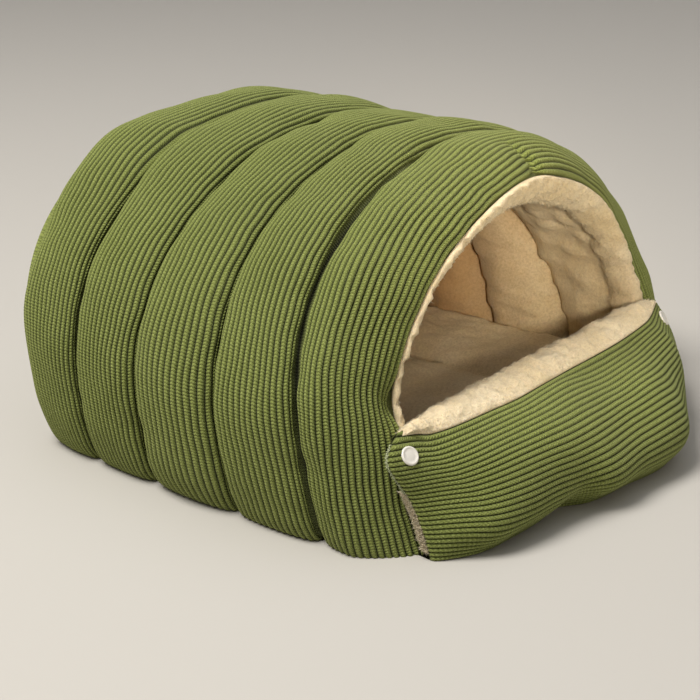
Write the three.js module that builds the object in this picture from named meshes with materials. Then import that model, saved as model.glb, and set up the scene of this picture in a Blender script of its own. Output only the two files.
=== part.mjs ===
import * as THREE from 'three';

// Puffer pet bed: a padded tunnel of ribbed knit on a padded base, lined with plush.
// Millimetres, +Z up. The entrance faces -Y and the tunnel's length runs along Y.

// Seams across the tunnel, from the back edge to the last seam before the entrance.
// footY and ridgeY place a seam at the floor and at the ridge, lean bends it between them,
// and the rest is its outline: square is 2 for a round arch and more for fuller shoulders.
const seams = [
  { footY: 222, ridgeY: 246, footX: 216, bellyX: 237, apexZ: 253, square: 2.3, lean: 1 },
  { footY: 162, ridgeY: 176, footX: 222, bellyX: 246, apexZ: 256, square: 2.12 },
  { footY: 92, ridgeY: 103, footX: 225, bellyX: 246, apexZ: 256, square: 2 },
  { footY: 3, ridgeY: 33, footX: 226, bellyX: 246, apexZ: 256, square: 2 },
  { footY: -80, ridgeY: -26, footX: 226, bellyX: 245, apexZ: 255, square: 2 },
];
const frontCrest = { footY: -112, ridgeY: -60, footX: 233, bellyX: 249, apexZ: 266, square: 1.83 };

// How far a filled channel stands above its seams.
const channelRise = { footX: 8, bellyX: 12, apexZ: 12, square: 0 };

// Seams of the inner face from the back, which lean back more, and the crest between them.
const innerSeams = [
  { footY: 222, ridgeY: 246, footX: 202, bellyX: 223, apexZ: 239, square: 2.3, lean: 1 },
  { footY: 130, ridgeY: 206, footX: 204, bellyX: 224, apexZ: 234, square: 2, lean: 1.2 },
  { footY: 44, ridgeY: 150, footX: 204, bellyX: 224, apexZ: 234, square: 2, lean: 1.2 },
  { footY: -48, ridgeY: 90, footX: 204, bellyX: 224, apexZ: 234, square: 2, lean: 1.2 },
];
const innerCrest = { footX: 187, bellyX: 190, apexZ: 222, square: 2 };
const bellyZ = 88;
const ridgeZ = 256;
const seamLean = 1.5;
const frontCrestLean = 0.7;
const channelSquareness = 2.3;

// Front edge of the knit round the entrance, up one side from the floor to the middle.
const rim = [
  { x: 194, y: -150, z: 0 },
  { x: 196, y: -137, z: 40 },
  { x: 190, y: -122, z: 86 },
  { x: 186, y: -112, z: 112 },
  { x: 176, y: -110, z: 135 },
  { x: 160, y: -109, z: 159 },
  { x: 127, y: -109, z: 195 },
  { x: 72, y: -110, z: 226 },
  { x: 0, y: -110, z: 243 },
];
const frontRollReach = 10;
const rimRollReach = 14;
const rimForward = 2;
const lipReach = 7;
const lipDepth = 16;
const mitreLimit = 0.5;

// Knit ribs run round the arch on the walls, across the flap and up the back.
const ribsPerChannel = 16;
const ribHeight = 1.2;
const archSteps = 22;
const archFootDensity = 0.45;
const innerStripsPerChannel = 4;
const frontInnerStrips = 6;
const lipStrips = 4;
const backEndRise = 0.7;

// Plush sheet, its lower edge off the floor, and the gap that sewn pieces keep between solids.
const plushThickness = 4;
const plushLift = 1.5;
const gap = 0.4;

// The base and its flap, from the middle of the bed outwards; x is the place along the flap.
// The knit leaves the floor at contact and goes by belly and brow to its seam with the plush.
const flapRows = {
  left: [
    { x: 0, contactY: -214, bellyY: -233, bellyZ: 28, browY: -212, browZ: 66, seamY: -156, seamZ: 88,
      crestY: -130, crestZ: 92, innerY: -106, innerZ: 72, floorX: 0, floorY: -100, floorZ: 38 },
    { x: 46, contactY: -206, bellyY: -231, bellyZ: 28, browY: -211, browZ: 66, seamY: -156, seamZ: 88,
      crestY: -130, crestZ: 92, innerY: -106, innerZ: 72, floorX: 47, floorY: -100, floorZ: 34 },
    { x: 74, contactY: -190, bellyY: -219, bellyZ: 33, browY: -206, browZ: 67, seamY: -156, seamZ: 88,
      crestY: -130, crestZ: 92, innerY: -106, innerZ: 72, floorX: 76, floorY: -100, floorZ: 22 },
    { x: 100, contactY: -192, bellyY: -214, bellyZ: 28, browY: -200, browZ: 66, seamY: -153, seamZ: 88,
      crestY: -130, crestZ: 92, innerY: -106, innerZ: 72, floorX: 103, floorY: -100, floorZ: 34 },
    { x: 146, contactY: -189, bellyY: -205, bellyZ: 26, browY: -184, browZ: 66, seamY: -147, seamZ: 88,
      crestY: -130, crestZ: 92, innerY: -112, innerZ: 74, floorX: 150, floorY: -104, floorZ: 38 },
    { x: 166, contactY: -186, bellyY: -198, bellyZ: 24, browY: -172, browZ: 64, seamY: -141, seamZ: 88,
      crestY: -130, crestZ: 91, innerY: -123, innerZ: 82, floorX: 170, floorY: -118, floorZ: 34 },
    { x: 180, contactY: -181, bellyY: -187, bellyZ: 24, browY: -163, browZ: 62, seamY: -137, seamZ: 91,
      crestY: -132.5, crestZ: 93, innerY: -129.5, innerZ: 89, floorX: 177, floorY: -156, floorZ: 8 },
    { x: 205, contactY: -165, bellyY: -157, bellyZ: 26, browY: -146, browZ: 58, seamY: -134, seamZ: 95,
      crestY: -131.5, crestZ: 97, innerY: -129.5, innerZ: 93, floorX: 182, floorY: -157, floorZ: 6 },
  ],
  right: [
    { x: 0, contactY: -214, bellyY: -233, bellyZ: 28, browY: -212, browZ: 66, seamY: -156, seamZ: 88,
      crestY: -130, crestZ: 92, innerY: -106, innerZ: 72, floorX: 0, floorY: -100, floorZ: 38 },
    { x: 46, contactY: -221, bellyY: -237, bellyZ: 30, browY: -211, browZ: 67, seamY: -157, seamZ: 88,
      crestY: -130, crestZ: 92, innerY: -106, innerZ: 72, floorX: 47, floorY: -100, floorZ: 34 },
    { x: 74, contactY: -219, bellyY: -235, bellyZ: 32, browY: -206, browZ: 67, seamY: -157, seamZ: 88,
      crestY: -130, crestZ: 92, innerY: -106, innerZ: 72, floorX: 76, floorY: -100, floorZ: 22 },
    { x: 100, contactY: -210, bellyY: -223, bellyZ: 30, browY: -197, browZ: 66, seamY: -156, seamZ: 88,
      crestY: -130, crestZ: 92, innerY: -106, innerZ: 72, floorX: 103, floorY: -100, floorZ: 34 },
    { x: 146, contactY: -189, bellyY: -198, bellyZ: 28, browY: -180, browZ: 66, seamY: -152, seamZ: 88,
      crestY: -130, crestZ: 92, innerY: -112, innerZ: 74, floorX: 150, floorY: -104, floorZ: 38 },
    { x: 166, contactY: -179, bellyY: -186, bellyZ: 26, browY: -168, browZ: 64, seamY: -147, seamZ: 88,
      crestY: -130, crestZ: 91, innerY: -123, innerZ: 82, floorX: 170, floorY: -118, floorZ: 34 },
    { x: 180, contactY: -172, bellyY: -177, bellyZ: 26, browY: -161, browZ: 64, seamY: -142, seamZ: 88,
      crestY: -132, crestZ: 90, innerY: -129.5, innerZ: 86, floorX: 177, floorY: -156, floorZ: 8 },
    { x: 205, contactY: -161, bellyY: -162, bellyZ: 26, browY: -150, browZ: 62, seamY: -134, seamZ: 90,
      crestY: -131.5, crestZ: 91, innerY: -129.5, innerZ: 87, floorX: 182, floorY: -157, floorZ: 6 },
  ],
};
const floorBackY = 216;
const flapRibs = 27;
const flapPadSteps = 9;
const tabSteps = 3;
const flapTopStrips = 4;

// The flap's two side edges by height: the left one pulled out to its snap.
const tabEdge = [
  { z: 0, left: 205, right: 180 },
  { z: 14, left: 207, right: 182 },
  { z: 36, left: 210, right: 187 },
  { z: 50, left: 213, right: 192 },
  { z: 66, left: 220, right: 195 },
  { z: 78, left: 224, right: 196 },
  { z: 86, left: 221, right: 195 },
  { z: 92, left: 213, right: 192 },
  { z: 96, left: 205, right: 190 },
];
// The underside is flat from the back to the heel, in front of which the flap just clears it.
const heelY = -158;
const contactLift = 0.3;

// Back panel: padded knit with upright ribs, its edge a little proud of the last channel.
const backRibs = 80;
const backHalfWidth = seams[0].bellyX - 2.5;
const backEdgeRise = 3;
const backEdgeDepth = 6;
const backCrown = 13;
const backCrownFall = 0.85;
const backLiningEase = 4;

// Snap caps, and the seam tail at the front left corner.
const snapRadius = 7.5;
const snapPlace = 190;
const snapShare = 0.87;
const tailX = -199;
const tailY = -151.6;
const tailThickness = 2;

// Moves the pieces so that the middle of the bed's footprint is the origin.
const originShiftY = -10.076;

const knitGreen = 0x7f9440;
const plushCream = 0xdccba6;
const snapWhite = 0xe6e2d8;

const vector = (x, y, z) => new THREE.Vector3(x, y, z);
const mix = THREE.MathUtils.lerp;
const bed = new THREE.Group();

function addPiece(name, geometry, color, roughness) {
  const material = new THREE.MeshStandardMaterial({ color, roughness, metalness: 0 });
  const mesh = new THREE.Mesh(geometry, material);
  mesh.name = name;
  bed.add(mesh);
  return mesh;
}

// A closed body through a row of closed loops, with a cap on the first and the last loop.
function bodyFromLoops(loops, capFaces) {
  const count = loops[0].length;
  const index = [];
  for (let row = 0; row < loops.length - 1; row += 1) {
    for (let column = 0; column < count; column += 1) {
      const next = (column + 1) % count;
      const a = row * count + column;
      const b = row * count + next;
      index.push(a, b, b + count);
      index.push(a, b + count, a + count);
    }
  }
  const lastLoop = (loops.length - 1) * count;
  index.push(...capFaces(loops[0]).reverse());
  index.push(...capFaces(loops.at(-1)).map((corner) => corner + lastLoop));
  const positions = loops.flat().flatMap((point) => [point.x, point.y, point.z]);
  if (signedVolume(positions, index) < 0) {
    index.reverse();
  }
  const geometry = new THREE.BufferGeometry();
  geometry.setAttribute('position', new THREE.Float32BufferAttribute(positions, 3));
  geometry.setIndex(index);
  geometry.computeVertexNormals();
  return geometry;
}

// Cap of a full outline, seen along the third axis, its faces turning the same way as the loop.
function outlineCap(first, second) {
  return (loop) => {
    const outline = loop.map((point) => new THREE.Vector2(point[first], point[second]));
    const turn = Math.sign(THREE.ShapeUtils.area(outline));
    return THREE.ShapeUtils.triangulateShape(outline, []).flatMap((face) => {
      const corners = face.map((corner) => outline[corner]);
      return Math.sign(THREE.ShapeUtils.area(corners)) === turn ? face : [...face].reverse();
    });
  };
}

// Cap of a sheet, whose loop runs out along one face and back along the other.
function sheetCap(loop) {
  const last = loop.length - 1;
  const faces = [];
  for (let at = 0; at < loop.length / 2 - 1; at += 1) {
    faces.push(at, at + 1, last - 1 - at);
    faces.push(at, last - 1 - at, last - at);
  }
  return faces;
}

function signedVolume(positions, index) {
  const corner = (at) => vector(...positions.slice(index[at] * 3, index[at] * 3 + 3));
  let total = 0;
  for (let at = 0; at < index.length; at += 3) {
    total += corner(at).dot(corner(at + 1).cross(corner(at + 2)));
  }
  return total;
}

// Value of a table's column at a place along its key column, on a smooth curve.
function tableValue(rows, key, column, place) {
  const last = rows.length - 1;
  let at = 0;
  while (at < last - 1 && place > rows[at + 1][key]) {
    at += 1;
  }
  const along = (place - rows[at][key]) / (rows[at + 1][key] - rows[at][key]);
  const slope = (row) => {
    const before = rows[Math.max(row - 1, 0)];
    const after = rows[Math.min(row + 1, last)];
    return (after[column] - before[column]) / (after[key] - before[key]);
  };
  const span = rows[at + 1][key] - rows[at][key];
  const t = THREE.MathUtils.clamp(along, 0, 1);
  const startWeight = 2 * t ** 3 - 3 * t ** 2 + 1;
  const startSlopeWeight = t ** 3 - 2 * t ** 2 + t;
  const endSlopeWeight = t ** 3 - t ** 2;
  return startWeight * rows[at][column] + (1 - startWeight) * rows[at + 1][column]
    + span * (startSlopeWeight * slope(at) + endSlopeWeight * slope(at + 1));
}

// Arch outlines. Places along an arch are fractions of its length, closer together at the feet.
const archFractions = Array.from({ length: archSteps + 1 }, (_, step) => {
  const even = step / archSteps;
  return even - archFootDensity * Math.sin(2 * Math.PI * even) / (2 * Math.PI);
});

const outlineKeys = ['footX', 'bellyX', 'apexZ', 'square'];

function archOutline({ footX, bellyX, apexZ, square }) {
  const points = [];
  for (let step = 0; step < 6; step += 1) {
    const angle = (step / 6) * Math.PI / 2;
    points.push(vector(-footX - (bellyX - footX) * Math.sin(angle), 0, bellyZ * (1 - Math.cos(angle))));
  }
  for (let step = 0; step <= 24; step += 1) {
    const angle = (step / 24) * Math.PI;
    const across = Math.sign(Math.cos(angle)) * Math.abs(Math.cos(angle)) ** (2 / square);
    const up = Math.sin(angle) ** (2 / square);
    points.push(vector(-bellyX * across, 0, bellyZ + (apexZ - bellyZ) * up));
  }
  for (let step = 5; step >= 0; step -= 1) {
    points.push(vector(-points[step].x, 0, points[step].z));
  }
  return points;
}

function archLine(outline, footY, ridgeY, lean = seamLean) {
  const curve = new THREE.CatmullRomCurve3(archOutline(outline), false, 'centripetal');
  return archFractions.map((fraction) => {
    const point = curve.getPointAt(fraction);
    point.y = mix(footY, ridgeY, (Math.max(point.z, 0) / ridgeZ) ** lean);
    return point;
  });
}

// A channel's cross-section: along runs from seam to seam, rise from 0 at a seam to 1 at its crest.
function rollProfile(strips, endAngle = Math.PI) {
  const points = [];
  for (let step = 0; step <= 32; step += 1) {
    const angle = (step / 32) * endAngle;
    const along = Math.sign(Math.cos(angle)) * Math.abs(Math.cos(angle)) ** (2 / channelSquareness);
    const rise = Math.abs(Math.sin(angle)) ** (2 / channelSquareness);
    points.push(new THREE.Vector2((1 - along) / 2, rise * 0.2));
  }
  return new THREE.SplineCurve(points).getSpacedPoints(strips)
    .map(({ x, y }) => ({ along: x, rise: Math.max(y, 0) / 0.2 }));
}

function blendOutline(from, to, amount) {
  const blended = {};
  for (const key of outlineKeys) {
    blended[key] = mix(from[key], to[key], amount);
  }
  return blended;
}

function outlineShift(outline, shift, amount) {
  const shifted = {};
  for (const key of outlineKeys) {
    shifted[key] = outline[key] + shift[key] * amount;
  }
  return shifted;
}

// Lines across the tunnel for one channel between two seams, without its last line.
function channelLines(from, to, strips, outlineAt) {
  return rollProfile(strips).slice(0, -1).map(({ along, rise }) => {
    const seamLine = blendOutline(from, to, along);
    const footY = mix(from.footY, to.footY, along);
    const ridgeY = mix(from.ridgeY, to.ridgeY, along);
    const lean = mix(leanOf(from), leanOf(to), along);
    return archLine(outlineAt(seamLine, rise, along), footY, ridgeY, lean);
  });
}

const backSeam = seams[0];
const backSlope = (backSeam.ridgeY - backSeam.footY) / ridgeZ;
const backInnerSeam = innerSeams[0];
const leanOf = ({ lean = seamLean }) => lean;
const outerOutline = (seam, rise) => outlineShift(seam, channelRise, rise);
const innerOutline = (seam, rise) => blendOutline(seam, innerCrest, rise);

// The last channel rolls over the front edge to the rim.
const rimSide = rim.map(({ x, y, z }) => vector(x, y, z));
const rimOtherSide = rimSide.map((point) => vector(-point.x, point.y, point.z));
const rimCurve = new THREE.CatmullRomCurve3([...rimOtherSide, ...rimSide.reverse().slice(1)]);
const rimLine = archFractions.map((fraction) => rimCurve.getPointAt(fraction));
const lastSeam = seams.at(-1);
const lastSeamLine = archLine(lastSeam, lastSeam.footY, lastSeam.ridgeY);
const frontCrestLine = archLine(frontCrest, frontCrest.footY, frontCrest.ridgeY, frontCrestLean);
const frontInnerLine = archLine(innerCrest, frontCrest.footY, frontCrest.ridgeY, frontCrestLean);

function outwardAtRim(step) {
  const outward = frontCrestLine[step].clone().sub(rimLine[step]);
  outward.y = 0;
  return outward.normalize();
}

function frontRollPath(step) {
  const seam = lastSeamLine[step];
  const crest = frontCrestLine[step];
  const edge = rimLine[step];
  const quarter = [];
  for (let part = 0; part < 6; part += 1) {
    const angle = (part / 6) * Math.PI / 2;
    const point = seam.clone().lerp(crest, Math.sin(angle));
    point.y = mix(seam.y, crest.y, 1 - Math.cos(angle));
    quarter.push(point);
  }
  const roll = new THREE.CubicBezierCurve3(
    crest,
    crest.clone().add(vector(0, -frontRollReach, 0)),
    edge.clone().addScaledVector(outwardAtRim(step), rimRollReach).add(vector(0, -rimForward, 0)),
    edge,
  );
  return new THREE.CatmullRomCurve3([...quarter, ...roll.getPoints(8)]).getSpacedPoints(2 * ribsPerChannel);
}

function lipPath(step) {
  const edge = rimLine[step];
  const inner = frontInnerLine[step];
  const lip = new THREE.CubicBezierCurve3(
    edge,
    edge.clone().addScaledVector(outwardAtRim(step), -lipReach),
    inner.clone().add(vector(0, -lipDepth, 0)),
    inner,
  );
  return lip.getPoints(lipStrips);
}

const linesFromPaths = (paths) => paths[0].map((_, column) => paths.map((path) => path[column]));
const archStepList = [...archFractions.keys()];

function outerLines() {
  const lines = [];
  for (let row = 0; row < seams.length - 1; row += 1) {
    lines.push(...channelLines(seams[row], seams[row + 1], 2 * ribsPerChannel, outerOutline));
  }
  lines.push(...linesFromPaths(archStepList.map(frontRollPath)));
  return lines;
}

function innerLines() {
  const lines = linesFromPaths(archStepList.map(lipPath)).slice(0, -1);
  const frontInnerSeam = innerSeams.at(-1);
  const halfProfile = rollProfile(2 * frontInnerStrips).slice(frontInnerStrips, -1);
  for (const { along, rise } of halfProfile) {
    const amount = 2 * along - 1;
    const footY = mix(frontCrest.footY, frontInnerSeam.footY, amount);
    const ridgeY = mix(frontCrest.ridgeY, frontInnerSeam.ridgeY, amount);
    const lean = mix(frontCrestLean, frontInnerSeam.lean, amount);
    lines.push(archLine(innerOutline(frontInnerSeam, rise), footY, ridgeY, lean));
  }
  for (let row = innerSeams.length - 1; row > 1; row -= 1) {
    lines.push(...channelLines(innerSeams[row], innerSeams[row - 1], innerStripsPerChannel, innerOutline));
  }
  const openEnd = (seam, rise, along) => (
    innerOutline(seam, along > 0.5 ? Math.max(rise, backEndRise) : rise));
  lines.push(...channelLines(innerSeams[1], backInnerSeam, innerStripsPerChannel, openEnd));
  const { footY, ridgeY, lean } = backInnerSeam;
  lines.push(archLine(innerOutline(backInnerSeam, backEndRise), footY, ridgeY, lean));
  return lines;
}

// Offset of a grid of lines that run round the arch, mitred where the surface bends.
// Feet stay at footZ and nothing passes the plane of the back seam.
function stripNormal(from, to, step) {
  const alongArch = to[Math.min(step + 1, to.length - 1)].clone().sub(to[Math.max(step - 1, 0)]);
  const normal = to[step].clone().sub(from[step]).cross(alongArch);
  if (step === 0 || step === to.length - 1) {
    normal.z = 0;
  }
  return normal.normalize();
}

function offsetLines(lines, distanceAt, footZ = 0) {
  return lines.map((line, column) => line.map((point, step) => {
    const before = stripNormal(lines[Math.max(column - 1, 0)], lines[Math.max(column, 1)], step);
    const last = lines.length - 1;
    const after = stripNormal(lines[Math.min(column, last - 1)], lines[Math.min(column + 1, last)], step);
    const normal = before.clone().add(after).normalize();
    const mitre = 1 / Math.max(normal.dot(before), mitreLimit);
    const moved = point.clone().addScaledVector(normal, distanceAt(column) * mitre);
    moved.z = Math.max(moved.z, footZ);
    moved.y = Math.min(moved.y, backSeam.footY + backSlope * moved.z);
    return moved;
  }));
}

// Tunnel wall: five filled channels with ribs, one solid from foot to foot.
const wallOuter = offsetLines(outerLines(), (column) => (column % 2 === 1 ? ribHeight : 0));
const wallInner = innerLines();
const wallLines = [...wallOuter, ...wallInner.slice(1)];
const wallLoops = archStepList.map((step) => wallLines.map((line) => line[step]));
addPiece('tunnel_wall', bodyFromLoops(wallLoops, outlineCap('x', 'y')), knitGreen, 0.9);

// Plush inside the tunnel, out over the lip to the rim.
const liningSeat = offsetLines(wallInner, () => gap, plushLift);
const liningFace = offsetLines(wallInner, () => gap + plushThickness, plushLift);
const liningLines = [...liningSeat, ...liningFace.reverse()];
const liningLoops = archStepList.map((step) => liningLines.map((line) => line[step]));
addPiece('tunnel_lining', bodyFromLoops(liningLoops, sheetCap), plushCream, 0.95);

// Base and flap: closed sections in planes along X, wider on the flap than on the floor.
const [padEnd, tabStart, tabEnd] = flapRows.left.slice(-3).map(({ x }) => x);
const flapRowsAt = (place) => (place > 0 ? flapRows.right : flapRows.left);
const padPlaces = Array.from({ length: flapPadSteps + 1 }, (_, step) => padEnd * step / flapPadSteps);
const tabPlaces = Array.from({ length: tabSteps + 1 }, (_, step) => mix(tabStart, tabEnd, step / tabSteps));
const sidePlaces = [...padPlaces, ...tabPlaces];
const flapPlaces = [...sidePlaces.slice(1).reverse().map((place) => -place), ...sidePlaces];

function flapPoint(place, name) {
  const away = Math.abs(place);
  const rows = flapRowsAt(place);
  const z = name === 'contact' ? contactLift : tableValue(rows, 'x', `${name}Z`, away);
  return { y: tableValue(rows, 'x', `${name}Y`, away), z };
}

function sectionCurve(place, names, strips) {
  const points = names.map((name) => flapPoint(place, name)).map(({ y, z }) => vector(0, y, z));
  return new THREE.CatmullRomCurve3(points).getSpacedPoints(strips);
}

function flapX(place, z) {
  const side = place > 0 ? 'right' : 'left';
  return place / tabEnd * tableValue(tabEdge, 'z', side, Math.min(z, tabEdge.at(-1).z));
}

function baseSection(place) {
  const floorX = Math.sign(place) * tableValue(flapRowsAt(place), 'x', 'floorX', Math.abs(place));
  const front = sectionCurve(place, ['contact', 'belly', 'brow', 'seam'], 2 * flapRibs);
  const top = sectionCurve(place, ['seam', 'crest', 'inner'], flapTopStrips).slice(1);
  for (const point of [...front, ...top]) {
    point.x = flapX(place, point.z);
  }
  const { y: floorY, z: floorZ } = flapPoint(place, 'floor');
  top.push(vector(floorX, floorY, floorZ));
  const floorEnd = [
    vector(floorX, floorBackY, floorZ),
    vector(floorX, floorBackY, 0),
    vector(floorX, heelY, 0),
  ];
  return { front, top, floorEnd };
}

const baseSections = flapPlaces.map(baseSection);
const flapFront = linesFromPaths(baseSections.map(({ front }) => front));
const flapRibLines = flapFront.map((line, column) => line.map((point, step) => {
  const raised = column % 2 === 1 ? -ribHeight : 0;
  const moved = point.clone().addScaledVector(sectionNormal(flapFront, column, step), raised);
  moved.z = Math.max(moved.z, 0);
  return moved;
}));

function sectionNormal(lines, column, step) {
  const line = lines[column];
  const across = line[Math.min(step + 1, line.length - 1)].clone().sub(line[Math.max(step - 1, 0)]);
  const after = lines[Math.min(column + 1, lines.length - 1)][step];
  const before = lines[Math.max(column - 1, 0)][step];
  return across.cross(after.clone().sub(before)).normalize().negate();
}

const baseLoops = baseSections.map(({ top, floorEnd }, step) => [
  ...flapRibLines.map((line) => line[step]),
  ...top,
  ...floorEnd,
]);
addPiece('base_panel', bodyFromLoops(baseLoops, outlineCap('y', 'z')), knitGreen, 0.9);

// Plush on the base: over the flap's top edge, down its inner face and back along the floor.
function baseLiningSection(place) {
  const { top, floorEnd } = baseSection(place);
  const seam = sectionCurve(place, ['contact', 'belly', 'brow', 'seam'], 2 * flapRibs).at(-1);
  seam.x = flapX(place, seam.z);
  return [seam, ...top, floorEnd[0]];
}

function sectionStripNormal(from, to) {
  return vector(0, from.z - to.z, to.y - from.y).normalize();
}

function offsetSection(points, distance) {
  const last = points.length - 1;
  return points.map((point, at) => {
    const before = sectionStripNormal(points[Math.max(at - 1, 0)], points[Math.max(at, 1)]);
    const after = sectionStripNormal(points[Math.min(at, last - 1)], points[Math.min(at + 1, last)]);
    const normal = before.clone().add(after).normalize();
    return point.clone().addScaledVector(normal, distance / Math.max(normal.dot(before), mitreLimit));
  });
}

const liningPlaces = flapPlaces.filter((place) => Math.abs(place) <= padEnd);
const baseLiningLoops = liningPlaces.map((place) => {
  const section = baseLiningSection(place);
  const seat = offsetSection(section, gap);
  const face = offsetSection(section, gap + plushThickness);
  return [...seat, ...face.reverse()];
});
addPiece('base_lining', bodyFromLoops(baseLiningLoops, sheetCap), plushCream, 0.95);

// Back panel: upright sections from side to side, ribs on its outer face.
const backOutline = archOutline(backSeam);

// Lowest and highest point of an arch outline at a place across it.
function outlineSpan(outline, x) {
  const heights = [];
  for (let at = 0; at < outline.length - 1; at += 1) {
    const [from, to] = [outline[at], outline[at + 1]];
    if ((from.x - x) * (to.x - x) <= 0 && from.x !== to.x) {
      heights.push(mix(from.z, to.z, (x - from.x) / (to.x - from.x)));
    }
  }
  const low = Math.abs(x) < backSeam.footX ? 0 : Math.min(...heights);
  return { low, high: Math.max(...heights) };
}

function backSection(x, raised) {
  const { low, high } = outlineSpan(backOutline, x);
  const crown = backCrown * (1 - backCrownFall * (x / backHalfWidth) ** 4);
  const bottom = low - Math.min(backEdgeRise, low / 2);
  const face = backEdgeDepth + raised;
  const at = (depth, z) => vector(x, backSeam.footY + backSlope * z + gap + depth, z);
  const crownPoints = [0.85, 0.5, 0.15].map((share) => (
    at(face + crown * Math.sqrt(Math.sin(Math.PI * share)), mix(low, high, share))));
  return [
    at(0, bottom),
    at(0, high),
    at(backEdgeDepth / 2, high + backEdgeRise),
    at(face, high),
    ...crownPoints,
    at(face, bottom),
  ];
}

const backColumns = Array.from({ length: 2 * backRibs + 1 }, (_, column) => {
  const x = mix(-backHalfWidth, backHalfWidth, column / (2 * backRibs));
  return backSection(x, column % 2 === 1 ? ribHeight : 0);
});
addPiece('back_panel', bodyFromLoops(backColumns, outlineCap('y', 'z')), knitGreen, 0.9);

// Plush inside the back panel, within the end of the tunnel's lining.
const backOpening = innerOutline(backInnerSeam, backEndRise);
const liningInset = { footX: 1, bellyX: 1, apexZ: 1, square: 0 };
const insetOpening = outlineShift(backOpening, liningInset, -plushThickness - backLiningEase);
const backLiningOutline = archOutline(insetOpening)
  .map(({ x, z }) => vector(x, 0, Math.max(z, plushLift)));
const backLiningPlane = (depth) => backLiningOutline
  .map(({ x, z }) => vector(x, backSeam.footY + backSlope * z - depth, z));
const backLiningLoops = [backLiningPlane(0), backLiningPlane(plushThickness)];
addPiece('back_lining', bodyFromLoops(backLiningLoops, outlineCap('x', 'z')), plushCream, 0.95);

// Snap caps on the two tabs, turned to the cloth under them.
const snapProfile = [
  [0, 0], [snapRadius - 0.6, 0], [snapRadius, 0.5], [snapRadius - 0.5, 1.3],
  [snapRadius - 1.6, 1.8], [snapRadius - 2.4, 1.6], [0, 2.1],
].map(([radius, height]) => new THREE.Vector2(radius, height));

for (const [name, side] of [['snap_cap_left', -1], ['snap_cap_right', 1]]) {
  const place = side * snapPlace;
  const columns = flapRibLines.length - 1;
  const column = Math.round(columns * snapShare);
  const step = flapPlaces.reduce((best, other, at) => (
    Math.abs(other - place) < Math.abs(flapPlaces[best] - place) ? at : best), 0);
  const outward = sectionNormal(flapFront, column, step).negate();
  const cap = addPiece(name, new THREE.LatheGeometry(snapProfile, 16), snapWhite, 0.35);
  cap.quaternion.setFromUnitVectors(vector(0, 1, 0), outward);
  cap.position.copy(flapFront[column][step]).addScaledVector(outward, ribHeight + gap);
}

// Short tail of seam cloth at the front left corner, where flap and wall meet the base.
const tailShape = new THREE.Shape([[-2.5, 0], [2, 0], [3, 7], [1, 13], [-3, 9]]
  .map(([x, y]) => new THREE.Vector2(x, y)));
const tailSheet = new THREE.ExtrudeGeometry(tailShape, { depth: tailThickness, bevelEnabled: false });
const tail = addPiece('seam_tail', tailSheet, knitGreen, 0.9);
tail.rotation.set(Math.PI / 2, 0, 0);
tail.position.set(tailX, tailY, 0);

for (const piece of bed.children) {
  piece.position.y += originShiftY;
}

bed.updateMatrixWorld(true);
export default bed;
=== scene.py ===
import math
from collections import namedtuple

import bpy
import numpy as np
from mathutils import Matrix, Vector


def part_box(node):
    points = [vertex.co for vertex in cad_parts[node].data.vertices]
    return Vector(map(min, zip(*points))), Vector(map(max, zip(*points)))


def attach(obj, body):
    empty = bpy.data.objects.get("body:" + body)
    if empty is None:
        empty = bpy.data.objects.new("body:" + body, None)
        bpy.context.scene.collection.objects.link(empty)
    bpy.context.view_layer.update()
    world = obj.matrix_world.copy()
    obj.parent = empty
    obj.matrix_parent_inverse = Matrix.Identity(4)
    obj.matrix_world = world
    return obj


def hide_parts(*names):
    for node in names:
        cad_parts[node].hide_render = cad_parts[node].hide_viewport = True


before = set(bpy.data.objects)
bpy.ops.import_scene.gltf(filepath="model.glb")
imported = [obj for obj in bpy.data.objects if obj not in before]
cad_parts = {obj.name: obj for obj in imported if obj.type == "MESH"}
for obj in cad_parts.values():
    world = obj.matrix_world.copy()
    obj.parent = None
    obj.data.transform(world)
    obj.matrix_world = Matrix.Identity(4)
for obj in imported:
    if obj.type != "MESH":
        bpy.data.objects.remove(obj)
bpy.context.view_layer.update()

# Puffer pet bed: ribbed knit outside, plush inside. Sizes are in millimetres, meshes in metres.
METRES = 0.001
ORIGIN_SHIFT_Y = -10.076

Seam = namedtuple("Seam", "foot_y ridge_y foot_x belly_x apex_z square lean")
SEAMS = [
    Seam(222, 246, 216, 237, 253, 2.3, 1.0),
    Seam(162, 176, 222, 246, 256, 2.12, 1.5),
    Seam(92, 103, 225, 246, 256, 2.0, 1.5),
    Seam(3, 33, 226, 246, 256, 2.0, 1.5),
    Seam(-80, -26, 226, 245, 255, 2.0, 1.5),
]
INNER_SEAMS = [
    Seam(222, 246, 202, 223, 239, 2.3, 1.0),
    Seam(130, 206, 204, 224, 234, 2.0, 1.2),
    Seam(44, 150, 204, 224, 234, 2.0, 1.2),
    Seam(-48, 90, 204, 224, 234, 2.0, 1.2),
]
FRONT_CREST = Seam(-112, -60, 233, 249, 266, 1.83, 0.7)
CHANNEL_RISE = np.array([8, 12, 12, 0])
INNER_CREST = np.array([187, 190, 222, 2])
BELLY_Z = 88
RIDGE_Z = 256
CHANNEL_SQUARENESS = 2.3
SEAM_BITE = 4.2
SEAM_BITE_WIDTH = 18
RIM = [
    (194, -150, 0), (196, -137, 40), (190, -122, 86), (186, -112, 112), (176, -110, 135),
    (160, -109, 159), (127, -109, 195), (72, -110, 226), (0, -110, 243),
]
FRONT_ROLL_REACH = 10
RIM_ROLL_REACH = 14
RIM_FORWARD = 2
LIP_REACH = 7
LIP_DEPTH = 16
LIP_PUFF = 7
BACK_END_RISE = 0.7

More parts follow.
